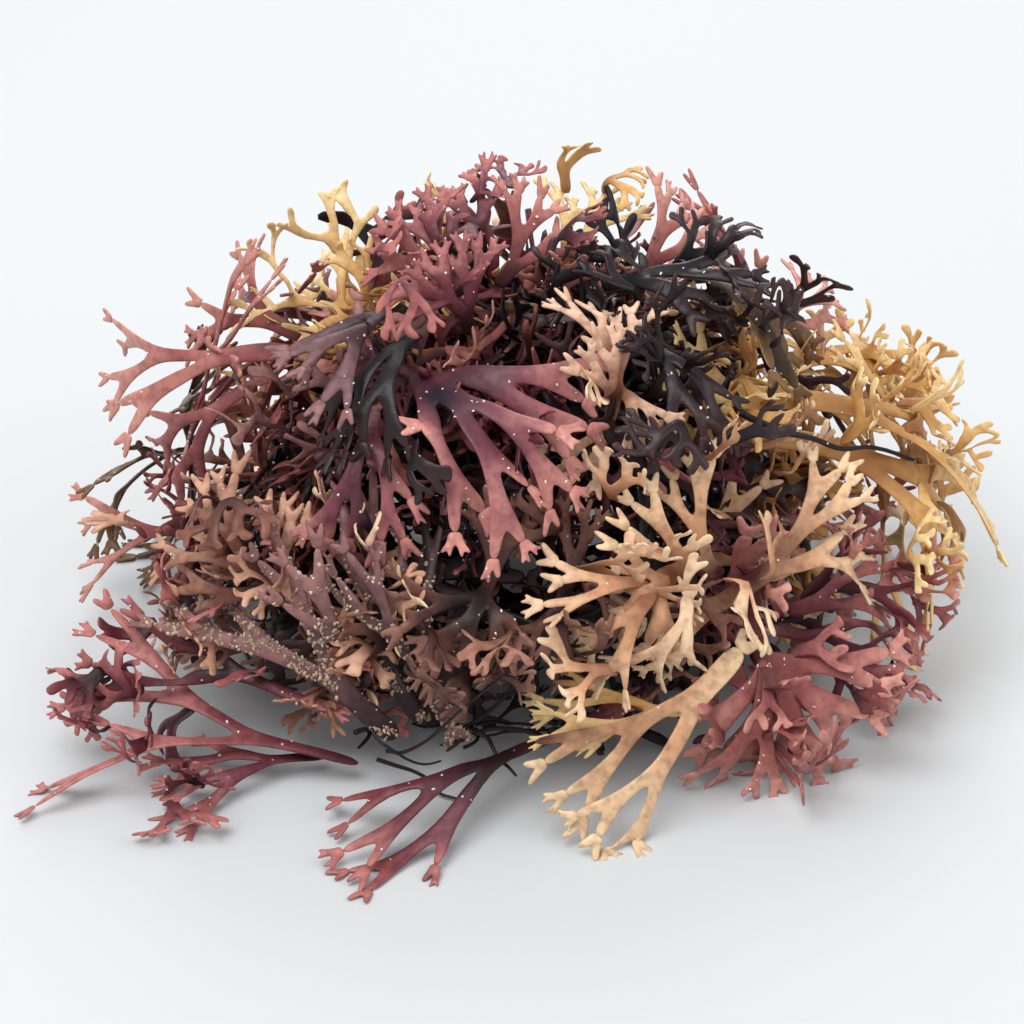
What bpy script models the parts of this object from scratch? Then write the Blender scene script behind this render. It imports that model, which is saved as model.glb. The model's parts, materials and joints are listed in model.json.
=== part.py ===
"""Dried Irish moss: one tangled clump of flattened, forked seaweed fronds, lying on a flat surface.

Metres, +Z up. The origin is at the bottom centre of the clump's box, and -Y is the side that shows best.

Every frond is a forking strip that grows along a curve, bends clear of the fronds laid before it, and is
then thickened. The fronds of the near side have places of their own, and the rest are spread over a dome.
"""

import math
import random
from collections import deque, namedtuple
from copy import copy

import bmesh
import bpy
from mathutils import Matrix, Quaternion, Vector

MM = 0.001
SEED = 31

# The dome that the clump fills, in millimetres
HEAP_HALF_WIDTH = 84.0
HEAP_HALF_DEPTH = 62.0
HEAP_HEIGHT = 88.0
HEAP_SHOULDER = 0.6  # exponent of its outline: under 1 gives full shoulders

# The blades, in millimetres
BLADE_THICKNESS = 0.9
LEAST_WIDTH = 1.3
TIP_WIDTH_SHARE = 0.75  # a tip's width against the widest part of its frond
WIDEST_AT = 0.35  # share of the length where the stipe has broadened into the blade
WIDTH_RANGE = (0.85, 1.15)  # how much the width varies at random
PRESSED = 0.35  # what lies lower than this is pressed flat on the floor

# How a frond branches
LENGTH_SHARES = (0.36, 0.28, 0.25, 0.22, 0.16)  # of the frond's length, one for each order of branch
LENGTH_RANGE = (0.8, 1.25)
STEPS = (2, 2, 1, 1, 1)  # stretches in a branch of each order
FEWER_STEPS = (2, 1, 1, 1, 1)  # the same in a fan of fewer forks
MANY_FORKS = 3
FORK_OPENING = 30.0  # degrees that each arm turns away just past a fork
OPENING_RANGE = (0.8, 1.25)
FORK_SETTLING = 0.55  # share of that turn which an arm keeps
SPREAD_MARGIN = 20.0  # degrees before its spread at which a fan begins to open less
AXIL_DEPTH = 0.45  # how far the crotch of a fork stands forward, in blade widths
UNFORKED_SHARE = 0.28  # of the outer branches, which end early
UNFORKED_FROM = 2  # the first order of branch that may end early
BOW = 2.0  # how far the middle of a guide's control polygon stands out, in arches

# How a branch wanders, in degrees to each side
WANDER = 10.0
TURN = 14.0
FORK_LIFT = 16.0
ROOT_TWIST = 8.0
LIFT_KEPT = 0.85  # share of its lift that a branch keeps from one stretch to the next
DODGE_RETURNED = 0.3  # share of a sideways dodge that it turns back

# The room between blades, in millimetres
SAMPLE_SPACING = 1.0
CLEAR_OF_OTHERS = 1.75
CLEAR_OF_ITSELF = 1.35
JOINT_SHARE = 0.3  # of a stretch, from its start, which may be near its own frond
ROOT_SHIFTS = (0.0, 2.0, 4.0, 7.0)  # how far a root may be moved out, to find room

# The bends that a blade tries, in degrees in its own plane and out of it, until it is clear of its neighbours
DODGES = ((0, 0), (0, 14), (0, -14), (9, 8), (-9, 8), (9, -8), (-9, -8), (0, 30), (0, -30), (16, 20),
          (-16, 20), (0, 48), (18, -24), (-18, -24))
STRETCHES = (1.0, 0.7)  # the lengths that it tries, against the length it should have

Finish = namedtuple("Finish", "colour roughness")
FINISHES = {
    "plum": Finish((0.17, 0.055, 0.075), 0.5),
    "rose": Finish((0.33, 0.13, 0.13), 0.5),
    "dusk": Finish((0.085, 0.045, 0.065), 0.48),
    "black": Finish((0.022, 0.016, 0.02), 0.42),
    "olive": Finish((0.09, 0.06, 0.03), 0.45),
    "umber": Finish((0.22, 0.11, 0.07), 0.52),
    "tan": Finish((0.62, 0.36, 0.2), 0.5),
    "gold": Finish((0.68, 0.44, 0.16), 0.48),
}

# A frond runs from root to tip, in millimetres. Its blades face along face, and it bows that way by arch. It
# forks forks times into a fan that spreads by spread degrees to each side. stipe and blade are widths. Some
# fronds have a second fan, which leaves the root the other way for second, and fans at the sides of their
# first stretch, for sides.
Frond = namedtuple(
    "Frond", "name root tip face arch forks spread stipe blade finish second sides lesser_forks",
    defaults=(None, (), 2))

SHOWN_FRONDS = (
    Frond("plum_fan_centre", (-16, -24, 70), (9, -43, 59), (0.1, -0.6, 0.8),
          6, 3, 62, 6.0, 4.5, "plum", (-35, 6, 71), ((22, -32, 67), (-12, -47, 48))),
    Frond("umber_lace_right", (10, -47, 40), (4, -54, 29), (0, -0.9, 0.4),
          5, 3, 62, 3.6, 3.4, "umber", (9, -41, 55)),
    Frond("tan_curl_front", (30, -41, 39), (9, -54, 33), (0, -0.8, 0.6),
          9, 3, 60, 4.2, 3.6, "tan", (51, -21, 49), ((14, -49, 45), (18, -55, 20))),
    Frond("gold_crest_right", (43, -38, 33), (64, -25, 42), (0.3, -0.6, 0.7),
          8, 3, 50, 4.6, 3.8, "gold", (26, -47, 28)),
    Frond("gold_crest_left", (39, -38, 36), (29, -40, 58), (0, -0.9, 0.4), 7, 3, 52, 4.0, 3.4, "gold"),
    Frond("rose_drape_right", (46, -42, 24), (52, -56, 4), (0.3, -0.8, 0.4),
          6, 3, 58, 5.4, 5.0, "rose", (55, -24, 40), ((35, -57, 5), (71, -44, 5))),
    Frond("rose_gold_sweep", (42, -45, 24), (16, -64, 3), (0.3, -0.6, 0.7), 4, 3, 34, 5.0, 4.0, "tan"),
    Frond("tan_spray_top", (19, -25, 67), (18, -20, 85), (0.1, -0.8, 0.6),
          6, 3, 60, 3.4, 3.2, "tan", (6, -41, 62), ((9, -25, 82), (27, -34, 64))),
    Frond("tan_curl_low", (31, -42, 37), (24, -53, 26), (0.2, -0.9, 0.3), 7, 3, 56, 3.5, 3.5, "tan"),
    Frond("olive_mane_right", (31, 2, 79), (52, -16, 65), (0.4, -0.3, 0.9), 8, 3, 46, 4.8, 4.4, "olive"),
    Frond("umber_tuft_left", (-42, -40, 35), (-60, -29, 43), (-0.3, -0.8, 0.5),
          4, 3, 60, 3.2, 3.4, "umber", (-25, -49, 29), ((-64, -32, 26), (-43, -35, 51))),
    Frond("plum_fork_left", (-28, -54, 4), (-77, -46, 3), (0, -0.3, 1), 4, 3, 40, 3.2, 4.0, "plum"),
    Frond("plum_fork_left_low", (-35, -50, 3), (-60, -57, 1), (0, -0.2, 1), 2, 3, 40, 3.0, 3.4, "plum"),
    Frond("plum_fork_front", (8, -52, 9), (-25, -74, 1), (0, -0.3, 1),
          4, 3, 38, 3.4, 3.8, "plum", (24, -52, 17)),
    Frond("plum_fork_left_upper", (-40, -47, 10), (-72, -34, 12), (-0.2, -0.3, 0.95),
          4, 3, 44, 3.1, 3.6, "plum", (-21, -48, 28)),
    Frond("gold_shoulder", (48, -9, 58), (86, 2, 35), (0.5, -0.5, 0.7),
          9, 3, 50, 6.0, 5.4, "gold", (32, -9, 69)),
    Frond("gold_skirt", (52, -14, 52), (85, -8, 28), (0.6, -0.5, 0.6),
          9, 3, 50, 5.6, 5.2, "gold", (35, -22, 61)),
    Frond("plum_fan_left", (-26, -23, 64), (-26, -42, 51), (-0.1, -0.7, 0.7), 5, 3, 50, 4.6, 3.8, "plum"),
    Frond("rose_star_right", (52, -35, 26), (71, -23, 25), (0.3, -0.8, 0.6), 5, 3, 62, 3.7, 3.3, "plum"),
    Frond("plum_sprig_right", (60, -33, 20), (78, -22, 15), (0.3, -0.6, 0.7),
          4, 3, 58, 3.1, 3.1, "plum", (47, -32, 36)),
    Frond("plum_sprig_low", (60, -34, 14), (73, -35, 4), (0.3, -0.5, 0.8), 5, 3, 52, 2.9, 3.1, "plum"),
    Frond("gold_shoulder_back", (51, 14, 51), (78, 26, 37), (0.6, -0.2, 0.7), 9, 3, 50, 5.4, 4.7, "gold"),
    Frond("gold_comb_front", (33, -53, 16), (10, -55, 12), (0.1, -0.6, 0.8), 3, 3, 46, 2.9, 2.7, "gold"),
    Frond("sandy_blade_left", (-21, -53, 9), (-56, -35, 35), (-0.2, -0.8, 0.6), 6, 3, 28, 5.6, 4.2, "dusk"),
    Frond("sandy_blade_middle", (-16, -47, 8), (-39, -41, 45), (-0.1, -0.9, 0.5), 6, 3, 28, 4.8, 3.8, "dusk"),
    Frond("sandy_blade_right", (-11, -54, 12), (-25, -46, 44), (0.1, -0.9, 0.5), 5, 3, 34, 4.2, 3.4, "dusk"),
    Frond("umber_tuft_low", (-49, -41, 22), (-64, -32, 25), (-0.4, -0.8, 0.4),
          4, 3, 64, 3.3, 3.6, "umber", (-30, -49, 18)),
    Frond("umber_tuft_high", (-35, -36, 43), (-42, -34, 56), (-0.2, -0.8, 0.6),
          4, 3, 66, 3.1, 3.3, "umber", (-21, -45, 40)),
    Frond("rose_reach_left", (-59, -8, 27), (-89, 4, 10), (-0.2, -0.4, 0.9),
          3, 3, 32, 3.2, 3.2, "rose", (-40, -27, 51)),
    Frond("dusk_reach_left", (-40, -7, 67), (-77, 4, 53), (-0.1, -0.7, 0.7), 7, 3, 34, 4.2, 3.6, "rose"),
    Frond("dusk_fall_left", (-49, -4, 59), (-70, -4, 37), (-0.5, -0.8, 0.3), 7, 3, 46, 3.5, 3.5, "plum"),
    Frond("rose_tips_back_left", (-40, -2, 67), (-55, 20, 66), (-0.2, -0.8, 0.5), 4, 3, 52, 3.7, 3.5, "rose"),
    Frond("gold_back_left", (-27, 28, 53), (-40, 38, 60), (-0.2, -0.8, 0.5), 4, 3, 60, 3.5, 3.3, "gold"),
    Frond("rose_crown", (-6, 10, 78), (-7, 20, 89), (0, -0.9, 0.4), 3, 3, 64, 3.7, 3.5, "plum"),
    Frond("rose_crown_left", (-9, -5, 78), (-19, 6, 86), (-0.1, -0.8, 0.5), 4, 3, 68, 4.0, 4.1, "plum"),
    Frond("rose_crown_front", (-8, -15, 76), (-11, -16, 90), (0, -0.6, 0.8), 4, 3, 68, 3.7, 3.7, "plum"),
    Frond("rose_crown_right", (-3, -5, 80), (7, 8, 86), (0.1, -0.8, 0.5), 4, 3, 64, 3.5, 3.5, "rose"),
    Frond("gold_loop_top", (10, 20, 70), (15, 30, 82), (0, -0.8, 0.5), 7, 3, 56, 3.5, 3.1, "gold"),
    Frond("rose_horn_top", (23, 12, 71), (35, 24, 79), (0.1, -0.8, 0.5), 4, 3, 58, 3.7, 3.6, "rose"),
    Frond("black_mane_right", (17, -3, 79), (42, -10, 76), (0.2, -0.5, 0.8), 8, 3, 50, 4.4, 4.0, "black"),
    Frond("black_fall_right", (23, -12, 74), (36, -32, 61), (0.3, -0.7, 0.6),
          7, 3, 58, 3.7, 3.6, "black", (9, -2, 82)),
    Frond("rose_back_right", (47, 10, 61), (62, 26, 59), (0.2, -0.7, 0.6), 4, 3, 50, 3.5, 3.1, "rose"),
    Frond("black_band_left", (-17, -14, 75), (-31, -33, 63), (-0.3, -0.5, 0.8), 6, 3, 46, 4.4, 4.0, "black"),
    Frond("dusk_band_far_left", (-19, -8, 77), (-42, -23, 68), (-0.3, -0.5, 0.8), 7, 3, 46, 4.2, 3.6, "dusk"),
    Frond("umber_lace_middle", (-5, -47, 39), (-13, -53, 26), (0, -0.9, 0.4),
          5, 3, 62, 3.4, 3.6, "umber", (-2, -40, 52), ((1, -53, 30), (-23, -49, 36))),
    Frond("black_rootlets", (-11, -50, 6), (5, -39, 4), (0, -0.5, 0.8), 2, 3, 60, 1.7, 1.5, "black"),
)

# Fronds of four fans that lie on a dome
STRAY = 0.35  # radians that a fan strays from its right angle
REACH_RANGE = (0.8, 1.2)
LEAST_TIP_HEIGHT = 0.5  # all but on the floor
MOST_TIP_HEIGHT = 70.0
LYING_FACE_RISE = 0.6
LYING_ARCH = 3.0
LYING_FORKS = 3
LYING_SPREAD = 66.0

# Those inside, old and dark and broad, which fill the clump behind the gaps between the others
INNER_COUNT = 6
INNER_HEIGHTS = (30.0, 40.0)  # of the roots, by turns
INNER_REACH = 30.0
INNER_SHARE = 0.72  # of the dome's size
INNER_STAND = 0.0  # how far the tips stand out of that smaller dome
INNER_WIDTHS = (6.0, 6.5)  # of the stipe and of the blades

# Those over the far side and the two ends
BACK_FINISHES = ("gold", "plum", "rose", "dusk", "tan", "plum", "olive", "rose")
BACK_ARC = (2.0, 178.0)  # degrees, from +X round by +Y
BACK_HEIGHTS = (22.0, 50.0)
BACK_REACH = 34.0
BACK_SHARE = 0.94
BACK_STAND = 5.0
BACK_WIDTHS = (3.8, 3.6)


def on_dome(angle, height, share, stand=0.0):
    """A point on a dome inside the clump's, in a direction from its centre, or a little way out of it."""
    rise = min(height / (HEAP_HEIGHT * share), 0.98)
    inset = math.sqrt(1 - rise ** (1 / HEAP_SHOULDER))
    x = (HEAP_HALF_WIDTH * share * inset + stand) * math.cos(angle)
    y = (HEAP_HALF_DEPTH * share * inset + stand) * math.sin(angle)
    return x, y, height


def lying_frond(name, finish, angle, height, reach, share, stand, widths, rng):
    """A frond that lies on a dome, turned at random, with its four fans at about right angles."""
    root = on_dome(angle, height, share)
    turn = rng.uniform(0, math.pi)
    tips = []
    for quarter in (0, 2, 1, 3):
        heading = turn + quarter * math.pi / 2 + rng.uniform(-STRAY, STRAY)
        length = reach * rng.uniform(*REACH_RANGE)
        tip_angle = angle + length * math.sin(heading) / Vector(root).xy.length
        tip_height = min(max(height + length * math.cos(heading), LEAST_TIP_HEIGHT), MOST_TIP_HEIGHT)
        tips.append(on_dome(tip_angle, tip_height, share, stand))
    face = (math.cos(angle), math.sin(angle), LYING_FACE_RISE)
    return Frond(name, root, tips[0], face, LYING_ARCH, LYING_FORKS, LYING_SPREAD, *widths, finish, tips[1],
                 tips[2:], LYING_FORKS)


def inner_fronds(rng):
    fronds = []
    for i in range(INNER_COUNT):
        angle = 2 * math.pi * i / INNER_COUNT
        height = INNER_HEIGHTS[i % len(INNER_HEIGHTS)]
        name = f"dark_inner_{i + 1}"
        fronds.append(lying_frond(name, "black", angle, height, INNER_REACH, INNER_SHARE, INNER_STAND,
                                  INNER_WIDTHS, rng))
    return fronds


def back_fronds(rng):
    fronds = []
    start, end = (math.radians(side) for side in BACK_ARC)
    for i, finish in enumerate(BACK_FINISHES):
        angle = start + (end - start) * i / (len(BACK_FINISHES) - 1)
        height = BACK_HEIGHTS[i % len(BACK_HEIGHTS)]
        name = f"{finish}_back_{i + 1}"
        fronds.append(lying_frond(name, finish, angle, height, BACK_REACH, BACK_SHARE, BACK_STAND,
                                  BACK_WIDTHS, rng))
    return fronds


class Tangle:
    """Every blade laid so far, as points on its surface in a grid of cells, for the tests of clearance."""

    def __init__(self):
        self.cells = {}

    def cell_of(self, point):
        return tuple(math.floor(c / CLEAR_OF_OTHERS) for c in point)

    def add(self, points, frond):
        for point in points:
            self.cells.setdefault(self.cell_of(point), []).append((point, frond))

    def forget(self, frond):
        for cell in self.cells.values():
            cell[:] = [(point, owner) for point, owner in cell if owner != frond]

    def neighbours(self, point):
        i, j, k = self.cell_of(point)
        for di in (-1, 0, 1):
            for dj in (-1, 0, 1):
                for dk in (-1, 0, 1):
                    yield from self.cells.get((i + di, j + dj, k + dk), ())

    def is_clear(self, points, frond, joint=None, reach=0.0):
        """Whether the points keep clear of the other fronds. If a joint is given, they also keep clear of
        their own frond, apart from what is within reach of the joint."""
        for point in points:
            for other, owner in self.neighbours(point):
                gap = (other - point).length
                if owner != frond:
                    if gap < CLEAR_OF_OTHERS:
                        return False
                elif joint is not None and gap < CLEAR_OF_ITSELF and (other - joint).length >= reach:
                    return False
        return True


def stretch_points(left, right, next_left, next_right, start, end):
    """Points spread over one stretch of blade, between two shares of its length."""
    length = ((next_left + next_right) / 2 - (left + right) / 2).length
    rows = max(2, math.ceil(length / SAMPLE_SPACING))
    columns = max(2, math.ceil(max((next_left - next_right).length, (left - right).length) / SAMPLE_SPACING))
    points = []
    for i in range(rows + 1):
        share = start + (end - start) * i / rows
        edge_left, edge_right = left.lerp(next_left, share), right.lerp(next_right, share)
        points += [edge_left.lerp(edge_right, j / columns) for j in range(columns + 1)]
    return points


class Guide:
    """The curve that a fan follows, from its root to the middle of its outer edge."""

    def __init__(self, frond):
        self.root, self.tip = Vector(frond.root), Vector(frond.tip)
        self.face = Vector(frond.face).normalized()
        self.middle = (self.root + self.tip) / 2 + self.face * frond.arch * BOW
        self.length = (self.tip - self.root).length

    def moved_out(self, shift):
        """The same curve with its root moved out of the clump."""
        moved = copy(self)
        moved.root = self.root + self.face * shift
        moved.middle = self.middle + self.face * shift / 2
        return moved

    def opposite(self, tip):
        """The curve of the second fan, which leaves the root the other way."""
        other = copy(self)
        other.tip = Vector(tip)
        other.length = (other.tip - self.root).length
        other.middle = self.root - self.frame(0)[0] * other.length / 2
        return other

    def frame(self, share):
        """(along, across, outward) at a share of the length."""
        along = (self.middle - self.root).lerp(self.tip - self.middle, min(share, 1.0)).normalized()
        across = along.cross(self.face).normalized()
        return along, across, across.cross(along)

    def heading(self, share, lean, lift):
        """The way a branch points, lean degrees to the side of the curve and lift degrees off its face."""
        along, across, outward = self.frame(share)
        a, b = math.radians(lean), math.radians(lift)
        return (along * math.cos(a) + across * math.sin(a)) * math.cos(b) + outward * math.sin(b)


# One growing end: its order, its last ring as mesh indices and as corners, its centre, its angles from the
# guide, its twist, and how far along the fan it is
Shoot = namedtuple("Shoot", "order ring left right centre lean lift twist along")


def width_at(frond, share):
    """The blade's width: a stipe that broadens, and then narrows to the tips."""
    tip = max(frond.blade * TIP_WIDTH_SHARE, LEAST_WIDTH)
    if share < WIDEST_AT:
        return frond.stipe + (frond.blade - frond.stipe) * share / WIDEST_AT
    return frond.blade + (tip - frond.blade) * (min(share, 1.0) - WIDEST_AT) / (1 - WIDEST_AT)


def lay_ring(guide, shoot, lean, lift, length, width):
    """The centre and two corners of the next ring. A blade that meets the floor is laid flat on it."""
    heading = guide.heading(shoot.along, lean, lift)
    centre = shoot.centre + heading * length
    side = heading.cross(guide.frame(shoot.along)[2]).normalized()
    side = Quaternion(heading, math.radians(shoot.twist)) @ side
    if centre.z - abs(side.z) * width / 2 < BLADE_THICKNESS / 2:
        side.z = 0
        side.normalize()
        centre.z = max(centre.z, BLADE_THICKNESS / 2)
    return centre, centre - side * width / 2, centre + side * width / 2


def next_ring(tangle, guide, shoot, name, lean, lift, length, width, reach):
    """The first ring that keeps clear of every blade, with the angles it took, or None."""
    for lean_dodge, lift_dodge in DODGES:
        for stretch in STRETCHES:
            new_lean, new_lift = lean + lean_dodge, lift + lift_dodge
            centre, left, right = lay_ring(guide, shoot, new_lean, new_lift, length * stretch, width)
            near = stretch_points(shoot.left, shoot.right, left, right, 0, JOINT_SHARE)
            far = stretch_points(shoot.left, shoot.right, left, right, JOINT_SHARE, 1)
            if tangle.is_clear(near, name) and tangle.is_clear(far, name, shoot.centre, reach):
                tangle.add(near + far, name)
                return centre, left, right, new_lean, new_lift
    return None


def grow_fan(frond, guide, ring, corners, faces, tangle, rng):
    """Adds one fan of the frond to its surface, from a ring of two corners and clear of every other blade."""
    left, right = (corners[i] for i in ring)
    steps_by_order = STEPS if frond.forks >= MANY_FORKS else FEWER_STEPS
    reach = max(frond.blade, frond.stipe) + 1
    twist = rng.uniform(-ROOT_TWIST, ROOT_TWIST)
    shoots = deque([Shoot(0, ring, left, right, (left + right) / 2, 0.0, 0.0, twist, 0.0)])
    while shoots:
        shoot = shoots.popleft()
        steps = steps_by_order[shoot.order]
        length = guide.length * LENGTH_SHARES[shoot.order] * rng.uniform(*LENGTH_RANGE) / steps
        lean, lift = shoot.lean, shoot.lift
        for step in range(steps):
            width = width_at(frond, shoot.along) * rng.uniform(*WIDTH_RANGE)
            wander, turn = rng.uniform(-WANDER, WANDER), rng.uniform(-TURN, TURN)
            found = next_ring(tangle, guide, shoot, frond.name, lean, lift, length, width, reach)
            if found is None:
                break
            centre, left, right, lean, lift = found
            first = len(corners)
            corners += [left, right]
            faces.append((*shoot.ring, first + 1, first))
            returned = (lean - shoot.lean) * DODGE_RETURNED if step else 0.0
            shoot = Shoot(shoot.order, (first, first + 1), left, right, centre, lean - returned,
                          lift * LIFT_KEPT, shoot.twist + turn, shoot.along + length / guide.length)
            lean, lift = shoot.lean + wander, shoot.lift
        else:
            ends_early = shoot.order >= UNFORKED_FROM and rng.random() < UNFORKED_SHARE
            if shoot.order < frond.forks and not ends_early:
                shoots.extend(fork(frond, guide, tangle, shoot, corners, faces, rng))


def fork(frond, guide, tangle, shoot, corners, faces, rng):
    """Splits a growing end in two. The crotch is one new corner, ahead of the middle of the last ring."""
    width = (shoot.left - shoot.right).length
    crotch = shoot.centre + guide.heading(shoot.along, shoot.lean, shoot.lift) * width * AXIL_DEPTH
    crotch.z = max(crotch.z, BLADE_THICKNESS / 2)
    points = stretch_points(shoot.left, shoot.right, crotch, crotch, 0, 1)
    if not tangle.is_clear(points, frond.name):
        return []
    tangle.add(points, frond.name)
    room = min(1.0, max(frond.spread - abs(shoot.lean), 0) / SPREAD_MARGIN)
    middle = len(corners)
    corners.append(crotch)
    faces.append((*shoot.ring, middle))
    arms = []
    for side, ring, left, right in (
        (-1, (shoot.ring[0], middle), shoot.left, crotch),
        (1, (middle, shoot.ring[1]), crotch, shoot.right),
    ):
        kept = FORK_SETTLING * (room if side * shoot.lean > 0 else 1.0)
        lean = shoot.lean + side * FORK_OPENING * rng.uniform(*OPENING_RANGE) * kept
        lift = shoot.lift + rng.uniform(-FORK_LIFT, FORK_LIFT)
        twist = shoot.twist + rng.uniform(-TURN, TURN)
        centre = (left + right) / 2
        arms.append(Shoot(shoot.order + 1, ring, left, right, centre, lean, lift, twist, shoot.along))
    return arms


def grow_first(frond, shift, tangle, rng):
    """The first fan of the frond, from its root moved out by shift: (guide, corners, faces)."""
    guide = Guide(frond).moved_out(shift)
    half = guide.frame(0)[1] * frond.stipe / 2
    corners, faces = [guide.root - half, guide.root + half], []
    grow_fan(frond, guide, (0, 1), corners, faces, tangle, rng)
    return guide, corners, faces


def grow_first_at_best(frond, tangle, rng):
    """Grows the first fan from the place, at its root or just over it, that leaves it the most room."""
    seed = rng.random()
    counts = []
    for shift in ROOT_SHIFTS:
        counts.append(len(grow_first(frond, shift, tangle, random.Random(seed))[2]))
        tangle.forget(frond.name)
    best = ROOT_SHIFTS[counts.index(max(counts))]
    return grow_first(frond, best, tangle, random.Random(seed))


def grow_others(frond, guide, corners, faces, tangle, rng):
    """Adds the second fan, and the fans at the sides of the first stretch."""
    lesser = frond._replace(forks=min(frond.forks, frond.lesser_forks))
    if frond.second:
        grow_fan(lesser, guide.opposite(frond.second), (1, 0), corners, faces, tangle, rng)
    for ring, tip in zip(((0, 2), (3, 1)), frond.sides):
        middle = (corners[ring[0]] + corners[ring[1]]) / 2
        side = lesser._replace(root=middle, tip=tip)
        grow_fan(side, Guide(side), ring, corners, faces, tangle, rng)


def frond_object(frond, corners, faces, collection):
    """The frond as one closed body: the forking strip in triangles, thickened to both sides."""
    shape = bmesh.new()
    points = [shape.verts.new(corner * MM) for corner in corners]
    for face in faces:
        shape.faces.new([points[i] for i in face])
    bmesh.ops.triangulate(shape, faces=shape.faces)
    mesh = bpy.data.meshes.new(frond.name)
    shape.to_mesh(mesh)
    shape.free()
    obj = bpy.data.objects.new(frond.name, mesh)
    collection.objects.link(obj)
    thickness = obj.modifiers.new("thickness", "SOLIDIFY")
    thickness.thickness = BLADE_THICKNESS * MM
    thickness.offset = 0
    graph = bpy.context.evaluated_depsgraph_get()
    obj.data = bpy.data.meshes.new_from_object(obj.evaluated_get(graph))
    obj.modifiers.clear()
    obj.data.materials.append(finish_material(frond.finish))
    return obj


def finish_material(name):
    material = bpy.data.materials.get(name)
    if material is None:
        material = bpy.data.materials.new(name)
        material.use_nodes = True
        shader = material.node_tree.nodes["Principled BSDF"]
        shader.inputs["Base Color"].default_value = (*FINISHES[name].colour, 1)
        shader.inputs["Roughness"].default_value = FINISHES[name].roughness
        shader.inputs["Metallic"].default_value = 0
    return material


def settle(objects):
    """Moves the clump so that its box is centred over the origin and stands on the floor, and presses flat
    what all but touches the floor."""
    corners = [vertex.co for obj in objects for vertex in obj.data.vertices]
    low = Vector(min(corner[i] for corner in corners) for i in range(3))
    high = Vector(max(corner[i] for corner in corners) for i in range(3))
    shift = Matrix.Translation((-(low.x + high.x) / 2, -(low.y + high.y) / 2, -low.z))
    for obj in objects:
        obj.data.transform(shift)
        for vertex in obj.data.vertices:
            if vertex.co.z < PRESSED * MM:
                vertex.co.z = 0
    return shift


def main():
    for obj in list(bpy.data.objects):
        bpy.data.objects.remove(obj)
    collection = bpy.data.collections.new("irish_moss")
    bpy.context.scene.collection.children.link(collection)
    tangle = Tangle()
    rng = random.Random(SEED)
    surfaces = []
    for group in (SHOWN_FRONDS, inner_fronds(rng), back_fronds(rng)):
        grown = [(frond, *grow_first_at_best(frond, tangle, rng)) for frond in group]
        for surface in grown:
            grow_others(*surface, tangle, rng)
        surfaces += grown
    settle([frond_object(frond, corners, faces, collection) for frond, _, corners, faces in surfaces])


main()
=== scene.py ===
"""Dried Irish moss, dressed for its picture: a tangled clump of forked seaweed on a white floor.

Each frond of the frame gets a rounded, rippled and notched copy of itself. Small fronds fill the clump behind
them, and sand, salt and dark rootlets lie on it.
"""

import heapq
import json
import math
import random
from collections import namedtuple

import bmesh
import bpy
from mathutils import Euler, Matrix, Vector, noise

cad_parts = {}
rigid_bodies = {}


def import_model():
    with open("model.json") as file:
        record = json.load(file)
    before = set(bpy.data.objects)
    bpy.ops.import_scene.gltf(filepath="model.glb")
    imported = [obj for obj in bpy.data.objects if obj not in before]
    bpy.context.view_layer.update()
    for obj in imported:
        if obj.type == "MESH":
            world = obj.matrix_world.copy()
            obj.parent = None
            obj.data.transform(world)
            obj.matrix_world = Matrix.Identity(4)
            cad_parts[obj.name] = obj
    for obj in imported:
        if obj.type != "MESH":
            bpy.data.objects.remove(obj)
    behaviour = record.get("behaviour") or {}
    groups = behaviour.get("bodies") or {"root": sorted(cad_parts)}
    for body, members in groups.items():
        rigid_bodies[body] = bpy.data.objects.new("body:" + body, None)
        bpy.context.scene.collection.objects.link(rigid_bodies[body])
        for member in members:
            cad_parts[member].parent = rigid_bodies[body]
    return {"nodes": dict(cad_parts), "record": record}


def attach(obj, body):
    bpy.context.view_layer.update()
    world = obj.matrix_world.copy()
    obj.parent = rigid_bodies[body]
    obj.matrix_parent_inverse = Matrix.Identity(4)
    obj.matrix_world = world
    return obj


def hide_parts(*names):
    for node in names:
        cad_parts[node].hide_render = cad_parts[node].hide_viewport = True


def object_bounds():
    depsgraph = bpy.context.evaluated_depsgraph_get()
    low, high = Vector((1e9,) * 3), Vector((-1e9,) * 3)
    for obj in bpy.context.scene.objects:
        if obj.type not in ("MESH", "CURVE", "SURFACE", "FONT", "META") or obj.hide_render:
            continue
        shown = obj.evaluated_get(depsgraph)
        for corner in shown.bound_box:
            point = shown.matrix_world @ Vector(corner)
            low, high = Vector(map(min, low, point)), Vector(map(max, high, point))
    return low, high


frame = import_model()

bl_info = {
    "name": "Irish moss clump",
    "version": (1, 0, 0),
    "blender": (4, 5, 0),
    "location": "3D View > Sidebar > Irish moss",
    "description": "Dresses a tangled clump of dried Irish moss and sets it on a white floor",
    "category": "Object",
}

MM = 0.001

# Where the random draws of each step start
SEEDS = {"fronds": 3, "filling": 7, "sand": 11, "rootlets": 5}

# How softly low corners are lifted off the floor, and the height below which the fronds wave less
FLOOR_SOFTNESS = 0.35 * MM
CALM_HEIGHT = 3 * MM

# The walls of the solid fronds are narrower than this, and their faces are wider
WALL_WIDTH = 1.2 * MM

# The notched tips: how many shapes there are, and their thickness in millimetres
TIP_SHAPES = 6
TIP_THICKNESS = 0.75

# The small fronds: how often each outline forks, and the share of the length in each stretch between forks
OUTER_FORKS = (4, 3, 4, 3, 3, 3)
DEEP_FORKS = (3, 4, 3)
SPRIG_FORKS = (3, 2, 3)
STRETCHES = (0.26, 0.24, 0.2, 0.16, 0.14)

# At a fork the arms turn by so many degrees, and bend back by up to so many
FORK_TURN = (22, 46)
FORK_BEND = 16

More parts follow.
